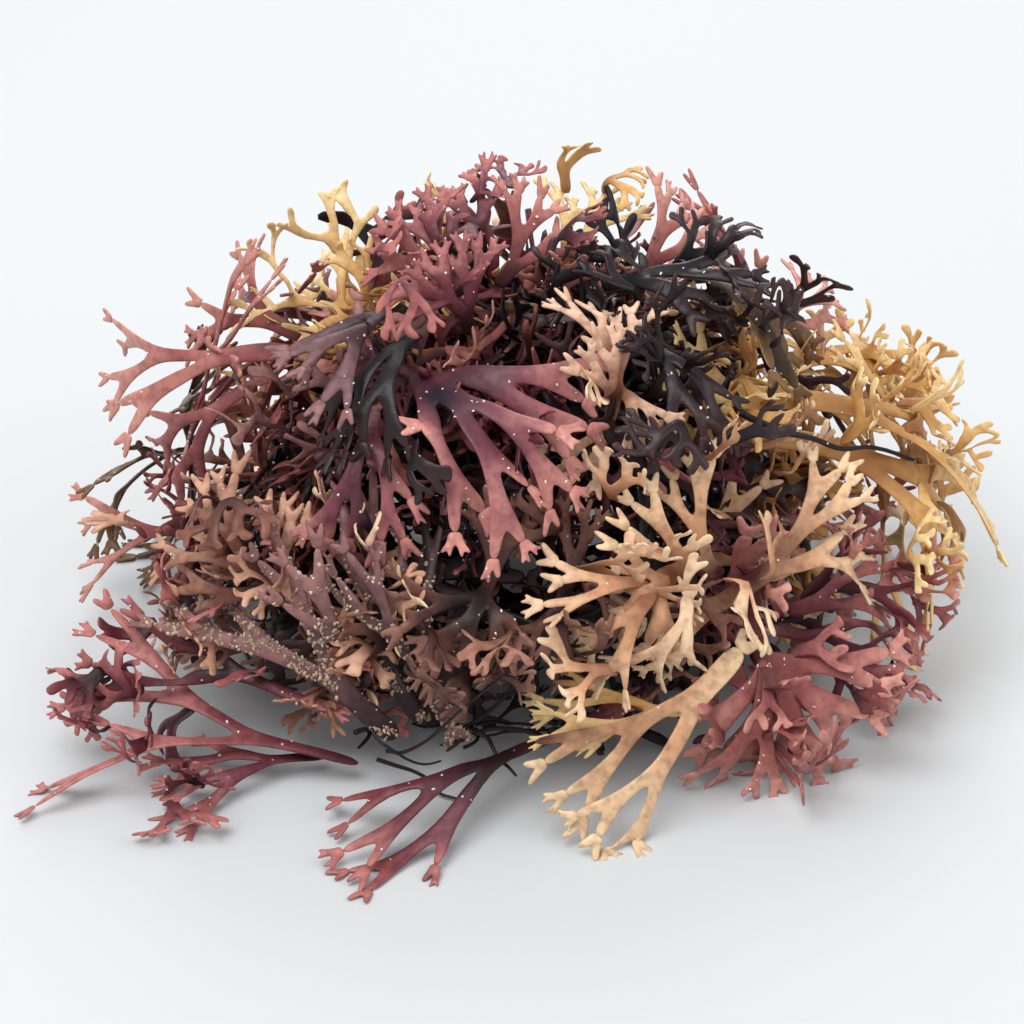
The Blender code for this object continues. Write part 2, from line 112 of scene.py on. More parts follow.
# The small fronds are rolled by these angles, in degrees, and then waved
CURLS = (-150, -80, 70)
SMALL_RIPPLE_HEIGHT = 6 * MM
SMALL_RIPPLE_SIZE = 9 * MM
PATTERN_STEP = 20

# How far a small frond reaches from its root, as a share of its length, and how far it and a sprig stray
REACH = 0.8
STRAY = 0.55
SPRIG_STRAY = 0.6

# How far the small fronds stay below the top of the clump
TOP_ROOM = 3 * MM

# The pattern of the seaweed's skin: patches, streaks, wrinkles and specks of salt
PATCH_SIZE = 9 * MM
PATCH_CONTRAST = 0.6
TINT_CONTRAST = 0.5
STREAK_SIZE = 1.8 * MM
STREAK_START = 0.42
STREAK_CONTRAST = 1.4
STREAK_ROUGHNESS = 0.3
WRINKLE_SIZE = 0.9 * MM
WRINKLE_DEPTH = 0.25 * MM
SPECK_SPACING = 1.9 * MM
SPECK_RADIUS = 0.11
SPECK_RARITY = 0.9
SPECK_STRENGTH = 0.85

# The grains: their size, how it varies, and the patches that the sand lies in
GRAIN_SIZE = 1 * MM
SALT_SIZES = (0.25, 0.6)
SAND_SIZES = (0.35, 0.85)
SAND_PATCH_SIZE = 9 * MM
SAND_PATCH_SHARE = 0.62

# The rootlets in front, in millimetres: the length of each step and their radii
ROOTLET_STEP = 3.6
ROOTLET_RADII = (0.35, 0.6)

# The thin black stem that lies across the gold fronds, in millimetres, and its radius
STEM = ((40, -20, 65), (47, -22, 62), (54, -19, 59), (60, -16, 54), (67, -10, 52), (75, -8, 47))
STEM_RADIUS = 0.7 * MM

# The lights: where each is and how wide, in metres, and what they point at
LIGHTS = {
    "key": ((-0.3, -0.25, 0.95), 0.85),
    "fill": ((0.7, -0.3, 0.6), 0.7),
    "back": ((0.1, 0.8, 0.7), 0.6),
}
LIT_PLACE = (0, 0, 0.03)

# Colours of a frond from its root to its tips, as linear RGB, and its roughness
Palette = namedtuple("Palette", "root middle tip roughness")
PALETTES = {
    "plum": Palette((0.02, 0.005, 0.009), (0.15, 0.029, 0.04), (0.5, 0.172, 0.155), 0.42),
    "rose": Palette((0.05, 0.01, 0.014), (0.3, 0.08, 0.075), (0.64, 0.29, 0.23), 0.45),
    "dusk": Palette((0.01, 0.005, 0.008), (0.066, 0.028, 0.036), (0.3, 0.14, 0.135), 0.42),
    "black": Palette((0.005, 0.003, 0.004), (0.014, 0.007, 0.01), (0.05, 0.022, 0.024), 0.36),
    "olive": Palette((0.012, 0.006, 0.003), (0.046, 0.022, 0.009), (0.17, 0.088, 0.034), 0.36),
    "lace": Palette((0.011, 0.003, 0.003), (0.095, 0.034, 0.025), (0.36, 0.17, 0.12), 0.45),
    "umber": Palette((0.028, 0.006, 0.005), (0.21, 0.074, 0.05), (0.62, 0.34, 0.225), 0.45),
    "tan": Palette((0.2, 0.062, 0.03), (0.62, 0.33, 0.18), (0.86, 0.62, 0.41), 0.42),
    "spray": Palette((0.07, 0.018, 0.01), (0.42, 0.2, 0.12), (0.72, 0.46, 0.32), 0.45),
    "gold": Palette((0.28, 0.115, 0.035), (0.64, 0.36, 0.12), (0.87, 0.64, 0.32), 0.42),
    "violet_fan": Palette((0.015, 0.008, 0.019), (0.19, 0.046, 0.062), (0.68, 0.285, 0.235), 0.4),
    "blushed_gold": Palette((0.06, 0.013, 0.014), (0.56, 0.3, 0.16), (0.86, 0.63, 0.39), 0.42),
}

# The palettes pale enough for light to show through
TRANSLUCENT = ("umber", "tan", "spray", "gold", "blushed_gold")

# Fronds whose colours aren't those of their slot
OWN_PALETTES = {
    "plum_fan_centre": "violet_fan",
    "plum_fan_left": "violet_fan",
    "dusk_reach_left": "rose",
    "gold_crest_right": "blushed_gold",
    "gold_crest_left": "blushed_gold",
    "rose_gold_sweep": "blushed_gold",
    "tan_spray_top": "spray",
    "umber_lace_middle": "lace",
    "umber_lace_right": "lace",
}

# Fronds with one fan, which start at the end nearest to the middle of the clump. The others start in their
# middle.
ONE_FAN = (
    "gold_crest_left", "rose_gold_sweep", "tan_curl_low", "olive_mane_right", "plum_sprig_low",
    "gold_shoulder_back", "gold_comb_front", "sandy_blade_left", "sandy_blade_middle", "sandy_blade_right",
    "plum_fork_left", "plum_fork_left_low", "dusk_reach_left", "dusk_fall_left", "rose_tips_back_left",
    "gold_back_left", "rose_crown", "rose_crown_left", "rose_crown_front", "rose_crown_right",
    "gold_loop_top", "rose_horn_top", "black_mane_right", "rose_back_right", "black_band_left",
    "dusk_band_far_left", "black_rootlets", "plum_fan_left", "rose_star_right",
)
CLUMP_MIDDLE = Vector((-2.4, 6.1, 15)) * MM

SLOTS = {part["node"]: part["material_slot"] for part in frame["record"]["subparts"]}
FRAME_BOX = [Vector(corner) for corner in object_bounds()]

# Where sprigs grow from the fronds: the fronds, how many sprigs and their colours
SPRIGS = (
    (("gold_shoulder", "gold_skirt", "gold_shoulder_back"), 46, "gold"),
    (("gold_loop_top",), 4, "gold"),
    (("gold_crest_left", "gold_crest_right", "tan_curl_front", "tan_spray_top"), 14, "tan"),
    (("rose_crown", "rose_crown_left", "rose_crown_front", "rose_crown_right"), 30, "plum"),
    (("plum_fork_left", "plum_fork_left_low", "plum_fork_left_upper", "plum_sprig_right"), 30, "plum"),
    (("umber_tuft_left", "umber_tuft_low", "umber_tuft_high"), 26, "umber"),
    (("umber_lace_middle", "umber_lace_right"), 12, "lace"),
    (("black_mane_right", "black_fall_right", "olive_mane_right", "black_band_left"), 24, "black"),
    (("rose_drape_right", "rose_star_right", "rose_reach_left", "dusk_fall_left"), 30, "rose"),
)

# The tints of the small fronds: a low one is dark from end to end. The deep ones get low tints, painted shade
# for their place inside the clump
DEEP_SHADE_TINTS = (-1.2, -0.4)
OUTER_TINTS = (-0.8, 0.9)
SPRIG_TINTS = (-0.1, 1.0)

# The dome that the small fronds fill, how large a part of it each layer takes, and the colours of its regions
DOME_CENTRE = Vector((-2.4, 9)) * MM
DOME_HALF_WIDTH = 84 * MM
DOME_HALF_DEPTH = 62 * MM
DOME_HEIGHT = 88 * MM
DOME_SHOULDER = 0.6
DEEP_SHARES = (0.6, 0.8)
OUTER_SHARES = (0.78, 0.96)
REGIONS = (
    ("umber", (-56, -32, 38)),
    ("tan", (-46, -44, 30)),
    ("rose", (-58, -4, 58)),
    ("dusk", (-36, -24, 62)),
    ("plum", (-10, 4, 90)),
    ("rose", (14, 6, 88)),
    ("black", (28, -4, 78)),
    ("olive", (48, -4, 66)),
    ("dusk", (44, -24, 52)),
    ("plum", (-8, -38, 56)),
    ("lace", (-10, -54, 22)),
    ("black", (8, -54, 12)),
    ("lace", (28, -52, 32)),
    ("lace", (30, -50, 42)),
    ("black", (-25, -42, 36)),
    ("rose", (60, -48, 26)),
    ("plum", (76, -34, 18)),
    ("gold", (86, 4, 36)),
    ("gold", (64, 6, 50)),
    ("plum", (-56, -50, 10)),
    ("gold", (-36, 36, 60)),
    ("rose", (-46, 56, 30)),
    ("plum", (-6, 66, 36)),
    ("tan", (-20, 62, 56)),
    ("dusk", (24, 64, 26)),
    ("rose", (54, 56, 40)),
    ("plum", (74, 40, 22)),
)


def colour(name, description, default):
    """A colour that can be changed, as linear RGB."""
    return bpy.props.FloatVectorProperty(
        name=name, description=description, default=default, size=3, min=0.0, max=1.0, subtype="COLOR")


class MossColours(bpy.types.PropertyGroup):
    """The colours of the grains and the floor, and the three of each palette, which are added below."""

    dark_salt: colour("Dark salt", "The darkest grains of salt", (0.62, 0.55, 0.5))
    pale_salt: colour("Pale salt", "The palest grains of salt", (0.86, 0.84, 0.82))
    salt_specks: colour("Salt specks", "The small specks of salt on the skin", (0.8, 0.72, 0.68))
    dark_sand: colour("Dark sand", "The darkest grains of sand", (0.2, 0.12, 0.08))
    pale_sand: colour("Pale sand", "The palest grains of sand", (0.64, 0.48, 0.34))
    floor: colour("Floor", "The floor under the clump", (0.58, 0.598, 0.61))


for palette_name, palette in PALETTES.items():
    for stretch in ("root", "middle", "tip"):
        MossColours.__annotations__[f"{palette_name}_{stretch}"] = colour(
            f"{palette_name} {stretch}".replace("_", " ").capitalize(),
            f"The {stretch} of these fronds", getattr(palette, stretch))


class MossSizes(bpy.types.PropertyGroup):
    """Sizes of the fronds and of what lies on them."""

    smoothness: bpy.props.IntProperty(
        name="Smoothness", description="How many times a frond's faces are divided", default=2, min=0, max=3)
    ripple_height: bpy.props.FloatProperty(
        name="Ripple height", description="How far the blades wave", default=3.4 * MM, unit="LENGTH")
    ripple_size: bpy.props.FloatProperty(
        name="Ripple size", description="The size of the waves", default=10 * MM, unit="LENGTH")
    crinkle_height: bpy.props.FloatProperty(
        name="Crinkle height", description="How far they crinkle", default=1.3 * MM, unit="LENGTH")
    crinkle_size: bpy.props.FloatProperty(
        name="Crinkle size", description="The size of the crinkles", default=3.6 * MM, unit="LENGTH")
    slimmer: bpy.props.FloatProperty(
        name="Slimmer", description="How far the edges of the blades are drawn in", default=0.28 * MM,
        unit="LENGTH")
    tip_length: bpy.props.FloatProperty(
        name="Tip length", description="Length of the notched tips", default=3.8 * MM, unit="LENGTH")
    tip_overlap: bpy.props.FloatProperty(
        name="Tip overlap", description="How far a tip starts inside its blade", default=1.2 * MM,
        unit="LENGTH")
    blade_thickness: bpy.props.FloatProperty(
        name="Blade thickness", description="Thickness of the small fronds", default=0.6 * MM, unit="LENGTH")
    small_frond_length: bpy.props.FloatProperty(
        name="Small frond length", description="Length of the small fronds", default=33 * MM, unit="LENGTH")
    small_frond_width: bpy.props.FloatProperty(
        name="Small frond width", description="Width of their first stretch", default=2.2 * MM, unit="LENGTH")
    sprig_length: bpy.props.FloatProperty(
        name="Sprig length", description="Length of the sprigs on the fronds", default=16 * MM, unit="LENGTH")
    small_fronds: bpy.props.IntProperty(
        name="Small fronds", description="How many small fronds fill the clump", default=340, min=0)
    # The dark small fronds deep in the clump: they are real fronds, but their black colour and low tints are
    # painted shade
    dark_fronds: bpy.props.IntProperty(
        name="Dark fronds", description="How many dark small fronds lie deep in it", default=150, min=0)
    salt_specks: bpy.props.IntProperty(
        name="Salt specks", description="How many specks of salt lie on the fronds", default=1000, min=0)
    sand_grains: bpy.props.IntProperty(
        name="Sand grains", description="How many grains stick to the sandy blades", default=1300, min=0)
    sand_heights: bpy.props.FloatVectorProperty(
        name="Sand heights", description="Between these heights the sand thins out",
        default=(24 * MM, 48 * MM), size=2, unit="LENGTH")
    rootlets: bpy.props.IntProperty(
        name="Rootlets", description="How many dark rootlets lie in front", default=16, min=0)


class StageSettings(bpy.types.PropertyGroup):
    """The camera, the floor and the light."""

    aim: bpy.props.FloatVectorProperty(
        name="Aim", description="What the camera points at", default=(-2.4 * MM, 6.1 * MM, 26 * MM),
        subtype="XYZ")
    distance: bpy.props.FloatProperty(
        name="Distance", description="From the camera to its aim", default=620 * MM, unit="LENGTH")
    elevation: bpy.props.FloatProperty(
        name="Elevation", description="Angle of the camera above the floor", default=math.radians(33),
        subtype="ANGLE")
    picture_width: bpy.props.FloatProperty(
        name="Picture width", description="What the picture spans at the aim", default=204.8 * MM,
        unit="LENGTH")
    floor_size: bpy.props.FloatProperty(
        name="Floor size", description="Width of the floor", default=6.0, unit="LENGTH")
    daylight: bpy.props.FloatProperty(
        name="Daylight", description="How strongly the white room shines", default=0.62, subtype="FACTOR",
        min=0.0, soft_max=1.0)
    key_power: bpy.props.FloatProperty(
        name="Key light", description="Power of the large light above", default=8.0, unit="POWER")
    fill_power: bpy.props.FloatProperty(
        name="Fill light", description="Power of the light on the right", default=2.2, unit="POWER")
    back_power: bpy.props.FloatProperty(
        name="Back light", description="Power of the light behind", default=4.6, unit="POWER")


class Value:
    """A number that varies over a surface, written as an expression."""

    def __init__(self, tree, socket):
        self.tree = tree
        self.socket = socket

    def maths(self, operation, *values):
        node = self.tree.nodes.new("ShaderNodeMath")
        node.operation = operation
        for slot, value in zip(node.inputs, values):
            if isinstance(value, Value):
                self.tree.links.new(value.socket, slot)
            else:
                slot.default_value = value
        return Value(self.tree, node.outputs[0])

    def __add__(self, other):
        return self.maths("ADD", self, other)

    __radd__ = __add__

    def __sub__(self, other):
        return self.maths("SUBTRACT", self, other)

    def __rsub__(self, other):
        return self.maths("SUBTRACT", other, self)

    def __mul__(self, other):
        return self.maths("MULTIPLY", self, other)

    __rmul__ = __mul__

    def __lt__(self, other):
        return self.maths("LESS_THAN", self, other)

    def __gt__(self, other):
        return self.maths("GREATER_THAN", self, other)


class Finish:
    """A material under construction."""

    def __init__(self, name):
        self.material = bpy.data.materials.new(name)
        self.material.use_nodes = True
        self.tree = self.material.node_tree
        self.shader = self.tree.nodes["Principled BSDF"]

    def set(self, node, socket, value):
        """Sets or links one socket of a node."""
        if isinstance(value, Value):
            value = value.socket
        if isinstance(value, bpy.types.NodeSocket):
            self.tree.links.new(value, node.inputs[socket])
        else:
            node.inputs[socket].default_value = value

    def node(self, kind, settings=(), sockets=()):
        """A node with its settings made and its sockets set or linked. A ramp's stops are a setting."""
        node = self.tree.nodes.new(kind)
        for name, value in dict(settings).items():
            if name == "stops":
                self.set_stops(node.color_ramp, value)
            else:
                setattr(node, name, value)
        for socket, value in dict(sockets).items():
            self.set(node, socket, value)
        return node

    def set_stops(self, ramp, stops):
        while len(ramp.elements) < len(stops):
            ramp.elements.new(0.5)
        for element, (place, shade) in zip(ramp.elements, stops):
            element.position = place
            element.color = (*shade, 1)

    def value(self, kind, output, settings=(), sockets=()):
        return Value(self.tree, self.node(kind, settings, sockets).outputs[output])

    def place(self):
        return self.node("ShaderNodeTexCoord").outputs["Object"]

    def noise(self, size, detail=2.0):
        """Soft patches about size across, as a value round 0.5."""
        return self.value("ShaderNodeTexNoise", "Fac", {"noise_dimensions": "3D"},
                          {"Vector": self.place(), "Scale": 1 / size, "Detail": detail})

    def attribute(self, name):
        return self.value("ShaderNodeAttribute", "Fac", {"attribute_name": name})

    def mix(self, share, first, second):
        """first where share is 0 and second where it is 1, as colours."""
        return self.node("ShaderNodeMix", {"data_type": "RGBA"}, {0: share, 6: first, 7: second}).outputs[2]


def seaweed_finish(name):
    """Waxy dried seaweed, dark at the root and pale at the tips, with patches and specks of salt."""
    colours = bpy.context.scene.moss_colours
    root = getattr(colours, f"{name}_root")
    middle = getattr(colours, f"{name}_middle")
    tip = getattr(colours, f"{name}_tip")
    finish = Finish(f"seaweed_{name}")
    along = finish.attribute("along")
    tint = finish.attribute("tint")
    patches = finish.noise(PATCH_SIZE)
    streaks = finish.noise(STREAK_SIZE)
    shade = along + (patches - 0.5) * PATCH_CONTRAST + (tint - 0.5) * TINT_CONTRAST
    stops = ((0.0, root), (0.5, middle), (1.0, tip))
    ramp = finish.node("ShaderNodeValToRGB", {"stops": stops}, {"Fac": shade})
    mottled = finish.mix((streaks - STREAK_START) * STREAK_CONTRAST, ramp.outputs["Color"], (*root, 1))
    salt = finish.node("ShaderNodeTexVoronoi", {"feature": "F1"},
                       {"Vector": finish.place(), "Scale": 1 / SPECK_SPACING})
    cell = finish.value("ShaderNodeSeparateColor", "Red", sockets={"Color": salt.outputs["Color"]})
    chosen = cell > SPECK_RARITY
    speck = (Value(finish.tree, salt.outputs["Distance"]) < SPECK_RADIUS) * chosen
    skin = finish.mix(speck * SPECK_STRENGTH, mottled, (*colours.salt_specks, 1))
    wrinkles = finish.noise(WRINKLE_SIZE, 3.0)
    bump = finish.node("ShaderNodeBump",
                       sockets={"Height": wrinkles, "Strength": 0.35, "Distance": WRINKLE_DEPTH})
    finish.set(finish.shader, "Base Color", skin)
    finish.set(finish.shader, "Roughness", PALETTES[name].roughness + (streaks - 0.5) * STREAK_ROUGHNESS)
    finish.set(finish.shader, "Normal", bump.outputs["Normal"])
    finish.set(finish.shader, "Specular IOR Level", 0.3)
    if name in TRANSLUCENT:
        finish.set(finish.shader, "Subsurface Weight", 0.12)
        finish.set(finish.shader, "Subsurface Radius", (0.9, 0.45, 0.3))
        finish.set(finish.shader, "Subsurface Scale", 1.5 * MM)
    return finish.material


def grain_finish(name, first, second):
    """Mineral grains, each of its own shade between two colours."""
    finish = Finish(name)
    shade = finish.mix(finish.attribute("tint"), (*first, 1), (*second, 1))
    finish.set(finish.shader, "Base Color", shade)
    finish.set(finish.shader, "Roughness", 0.6)
    return finish.material


def palette_material(name):
    return bpy.data.materials.get(f"seaweed_{name}") or seaweed_finish(name)


def new_object(name, data):
    obj = bpy.data.objects.new(name, data)
    bpy.context.scene.collection.objects.link(obj)
    return obj


def only(obj):
    """Selects this object alone and makes it the active one."""
    bpy.ops.object.select_all(action="DESELECT")
    obj.select_set(True)
    bpy.context.view_layer.objects.active = obj


def apply_modifier(obj, kind, **settings):
    """Adds a modifier, sets it and applies it."""
    only(obj)
    bpy.ops.object.modifier_add(type=kind)
    modifier = obj.modifiers[-1]
    for name, value in settings.items():
        setattr(modifier, name, value)
    bpy.ops.object.modifier_apply(modifier=modifier.name)


def finish_piece(obj, material):
    """Gives a finished piece its material and its body."""
    only(obj)
    bpy.ops.object.shade_smooth()
    obj.data.materials.clear()
    obj.data.materials.append(material)
    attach(obj, "root")


def store(mesh, name, values):
    """Stores one number for each corner of a mesh."""
    attribute = mesh.attributes.get(name) or mesh.attributes.new(name, "FLOAT", "POINT")
    attribute.data.foreach_set("value", values)


# Distances along a frond

def neighbours_of(mesh):
    """For each vertex, its neighbours with the lengths of the edges to them."""
    neighbours = [[] for _ in mesh.vertices]
    for edge in mesh.edges:
        a, b = edge.vertices
        length = (mesh.vertices[a].co - mesh.vertices[b].co).length
        neighbours[a].append((b, length))
        neighbours[b].append((a, length))
    return neighbours


def distances_from(sources, neighbours):
    """The shortest way over the edges from the nearest source to each vertex."""
    distances = [math.inf] * len(neighbours)
    queue = [(0.0, source) for source in sources]
    for _, source in queue:
        distances[source] = 0.0
    heapq.heapify(queue)
    while queue:
        distance, vertex = heapq.heappop(queue)
        if distance > distances[vertex]:
            continue
        for other, length in neighbours[vertex]:
            if distance + length < distances[other]:
                distances[other] = distance + length
                heapq.heappush(queue, (distance + length, other))
    return distances


def ends_of(distances, neighbours):
    """The vertices that lie further than all their neighbours."""
    return [i for i, near in enumerate(neighbours) if all(distances[j] < distances[i] for j, _ in near)]


def middle_of(neighbours):
    """The vertex from which the furthest part of the frond is nearest."""
    first = distances_from([0], neighbours)
    one = max(range(len(first)), key=first.__getitem__)
    from_one = distances_from([one], neighbours)
    other = max(range(len(first)), key=from_one.__getitem__)
    from_other = distances_from([other], neighbours)
    return min(range(len(first)), key=lambda i: max(from_one[i], from_other[i]))


def root_of(name, mesh, neighbours):
    """The vertex where a frond starts."""
    middle = middle_of(neighbours)
    if name not in ONE_FAN:
        return middle
    ends = ends_of(distances_from([middle], neighbours), neighbours)
    return min(ends, key=lambda i: (mesh.vertices[i].co - CLUMP_MIDDLE).length)


def mark_along(mesh, root, neighbours):
    """Stores how far each vertex is on its way from the root to the nearest tip. Returns the ends."""
    from_root = distances_from([root], neighbours)
    ends = ends_of(from_root, neighbours)
    from_ends = distances_from(ends, neighbours)
    store(mesh, "along", [a / max(a + b, 1e-9) for a, b in zip(from_root, from_ends)])
    return ends


# Modelling the small pieces by hand

def select_corners(obj, indices):
    """Selects these corners, and the edge between them if there are two, in edit mode."""
    bpy.ops.mesh.select_all(action="DESELECT")
    shape = bmesh.from_edit_mesh(obj.data)
    shape.verts.ensure_lookup_table()
    for i in indices:
        shape.verts[i].select = True
    shape.select_flush(True)
    bmesh.update_edit_mesh(obj.data)


def selected_corners(obj):
    shape = bmesh.from_edit_mesh(obj.data)
    shape.verts.index_update()
    return sorted(v.index for v in shape.verts if v.select)


def corner(obj, index):
    shape = bmesh.from_edit_mesh(obj.data)
    shape.verts.ensure_lookup_table()
    return shape.verts[index].co.copy()


def set_corner(obj, index, place):
    """Moves one corner to a place."""
    select_corners(obj, [index])
    bpy.ops.transform.translate(value=place - corner(obj, index))


def extrude_arm(obj, pair, heading, length, width):
    """Extrudes the edge between two corners. Returns the two new corners, left one first."""
    forward = Vector((math.sin(heading), math.cos(heading), 0))
    side = Vector((math.cos(heading), -math.sin(heading), 0))
    centre = (corner(obj, pair[0]) + corner(obj, pair[1])) / 2 + forward * length
    select_corners(obj, pair)
    bpy.ops.mesh.extrude_edges_move(TRANSFORM_OT_translate={"value": forward * length})
    new = selected_corners(obj)
    new.sort(key=lambda i: (corner(obj, i) - centre).dot(side))
    set_corner(obj, new[0], centre - side * width / 2)
    set_corner(obj, new[1], centre + side * width / 2)
    return new


def fork_arm(obj, pair, heading):
    """Divides the edge between two corners and pulls its middle forward into a crotch. Returns its index."""
    width = (corner(obj, pair[0]) - corner(obj, pair[1])).length
    select_corners(obj, pair)
    bpy.ops.mesh.subdivide(number_cuts=1)
    middle = len(bmesh.from_edit_mesh(obj.data).verts) - 1
    forward = Vector((math.sin(heading), math.cos(heading), 0))
    set_corner(obj, middle, corner(obj, middle) + forward * width * 0.3)
    return middle


def start_blade(name, width, length):
    """A flat strip from a plane, in edit mode, with the corners of its far end, left one first."""
    bpy.ops.object.select_all(action="DESELECT")
    bpy.ops.mesh.primitive_plane_add(size=1, location=(0, 0.5, 0))
    obj = bpy.context.object
    obj.name = name
    obj.data.name = name
    bpy.ops.object.transform_apply(location=True)
    obj.scale = (width, length, 1)
    bpy.ops.object.transform_apply(scale=True)
    corners = sorted(range(4), key=lambda i: (-obj.data.vertices[i].co.y, obj.data.vertices[i].co.x))
    bpy.ops.object.mode_set(mode="EDIT")
    bpy.ops.mesh.select_mode(type="VERT")
    return obj, corners[:2]


def flat_frond(name, length, width, orders, rng):
    """A flat frond that forks orders times, from the origin along +Y."""
    stem = length * STRETCHES[0] / 2
    obj, pair = start_blade(name, width, stem)
    arms = [(extrude_arm(obj, pair, rng.uniform(-0.15, 0.15), stem, width), 0.0, 0)]
    while arms:
        pair, heading, order = arms.pop(0)
        if order == orders or order > 1 and rng.random() < 0.3:
            continue
        middle = fork_arm(obj, pair, heading)
        for side, ends in ((-1, (pair[0], middle)), (1, (middle, pair[1]))):
            turned = heading + side * math.radians(rng.uniform(*FORK_TURN))
            reach = length * STRETCHES[order + 1] * rng.uniform(0.75, 1.3)
            breadth = width * rng.uniform(0.85, 1.1) * (0.92 ** order)
            near = extrude_arm(obj, ends, turned, reach / 2, breadth)
            bent = turned - side * math.radians(rng.uniform(0, FORK_BEND))
            far = extrude_arm(obj, near, bent, reach / 2, breadth * rng.uniform(0.72, 1.05))
            arms.append((far, bent, order + 1))
    bpy.ops.object.mode_set(mode="OBJECT")
    return obj


def notched_tip(name, rng):
    """The end of a blade, with two to four teeth, about one wide and one long, from the origin along +Y."""
    obj, pair = start_blade(name, 0.82, 0.35)
    middle = fork_arm(obj, pair, 0.0)
    for side, ends in ((-1, (pair[0], middle)), (1, (middle, pair[1]))):
        turned = side * math.radians(rng.uniform(12, 34))
        near = extrude_arm(obj, ends, turned, rng.uniform(0.25, 0.5), rng.uniform(0.4, 0.5))
        if rng.random() < 0.4:
            crotch = fork_arm(obj, near, turned)
            extrude_arm(obj, (near[0], crotch), turned - 0.4, rng.uniform(0.25, 0.4), 0.16)
            extrude_arm(obj, (crotch, near[1]), turned + 0.4, rng.uniform(0.25, 0.4), 0.16)
        else:
            extrude_arm(obj, near, turned * rng.uniform(0.2, 1.6), rng.uniform(0.3, 0.5), 0.24)
    bpy.ops.object.mode_set(mode="OBJECT")
    return obj


def clouds(name, size):
    texture = bpy.data.textures.new(name, "CLOUDS")
    texture.cloud_type = "COLOR"
    texture.noise_scale = size
    texture.noise_depth = 1
    return texture


def ripple(obj, height, size, group=""):
    """Waves a blade, both faces together."""
    texture = bpy.data.textures.get(f"ripple_{size:.4f}") or clouds(f"ripple_{size:.4f}", size)
    apply_modifier(obj, "DISPLACE", texture=texture, texture_coords="LOCAL", direction="RGB_TO_XYZ",
                   mid_level=0.5, strength=height, vertex_group=group)


def bend(mesh, length, angle):
    """Rolls a strip that lies along +Y round the X axis, by angle over its length."""
    radius = length / angle
    for vertex in mesh.vertices:
        x, y, z = vertex.co
        turn = y / radius
        vertex.co = (x, (radius - z) * math.sin(turn), radius - (radius - z) * math.cos(turn))


def copies(name, placements):
    """One mesh of many copies. Each placement is (mesh, matrix, tint)."""
    shape = bmesh.new()
    tints = []
    for mesh, matrix, tint in placements:
        before = len(shape.verts)
        shape.from_mesh(mesh)
        shape.verts.ensure_lookup_table()
        bmesh.ops.transform(shape, matrix=matrix, verts=shape.verts[before:])
        tints += [tint] * (len(shape.verts) - before)
    joined = bpy.data.meshes.new(name)
    shape.to_mesh(joined)
    shape.free()
    store(joined, "tint", tints)
    return joined


def remove_masters(objects):
    for obj in objects:
        bpy.data.objects.remove(obj)


# The fronds of the frame

def merged_copy(node, name):
    """A copy of a frond's solid, with its corners merged and its triangles joined to quads."""
    obj = new_object(name, node.data.copy())
    only(obj)
    bpy.ops.object.mode_set(mode="EDIT")
    bpy.ops.mesh.select_mode(type="VERT")
    bpy.ops.mesh.select_all(action="SELECT")
    bpy.ops.mesh.remove_doubles(threshold=0.001 * MM)
    bpy.ops.mesh.tris_convert_to_quads(face_threshold=math.radians(40), shape_threshold=math.radians(75))
    bpy.ops.object.mode_set(mode="OBJECT")
    return obj


def cap_frames(mesh, ends, neighbours, distances):
    """For each end of a frond, the frame of its cap: (place, its widest edge, forward)."""
    shape = bmesh.new()
    shape.from_mesh(mesh)
    shape.verts.ensure_lookup_table()
    frames = {}
    for i in ends:
        lowest = min(neighbours[i], key=lambda pair: distances[pair[0]])[0]
        growth = (mesh.vertices[i].co - mesh.vertices[lowest].co).normalized()
        cap = max(shape.verts[i].link_faces, key=lambda face: face.normal.dot(growth))
        edge = max(cap.edges, key=lambda e: e.calc_length())
        side = edge.verts[1].co - edge.verts[0].co
        frames[cap.index] = (cap.calc_center_median(), side, cap.normal.copy())
    shape.free()
    return list(frames.values())


def slim(mesh, amount):
    """Draws in the long edges of the blades, which are the walls no wider than a blade is thick."""
    inward = [Vector() for _ in mesh.vertices]
    for face in mesh.polygons:
        corners = [mesh.vertices[i].co for i in face.vertices]
        sides = sorted((a - b).length for a, b in zip(corners, corners[1:] + corners[:1]))
        if len(corners) == 4 and sides[1] < WALL_WIDTH < sides[2]:
            for i in face.vertices:
                inward[i] -= face.normal
    for vertex, direction in zip(mesh.vertices, inward):
        if direction.length > 0.5:
            vertex.co += direction.normalized() * amount


def tip_matrix(frame_of_cap, length, overlap):
    """Puts a notched tip on a cap, as wide as the cap."""
    place, side, forward = frame_of_cap
    out = side.cross(forward).normalized()
    along = out.cross(side).normalized()
    if along.dot(forward) < 0:
        along = -along
    matrix = Matrix((side, along * length, out * MM)).transposed().to_4x4()
    matrix.translation = place - along * overlap
    return matrix


def curl_group(obj):
    """A vertex group that grows from 0 at the root to 1 near the tips, and falls to 0 at the floor."""
    group = obj.vertex_groups.new(name="curl")
    along = obj.data.attributes["along"]
    for vertex in obj.data.vertices:
        weight = min(along.data[vertex.index].value * 1.2, 1.0)
        if vertex.co.z < CALM_HEIGHT:
            weight *= vertex.co.z / CALM_HEIGHT
        group.add([vertex.index], max(weight, 0.0), "REPLACE")
    return group.name


def above_floor(height):
    """A height that is all but the same well above the floor, and never under it."""
    return FLOOR_SOFTNESS * math.log1p(math.exp(height / FLOOR_SOFTNESS))


def is_hidden(name):
    """Whether a frond lies inside the clump or on its far side, so that fewer faces do."""
    return "_inner_" in name or "_back_" in name and name[-1].isdigit()


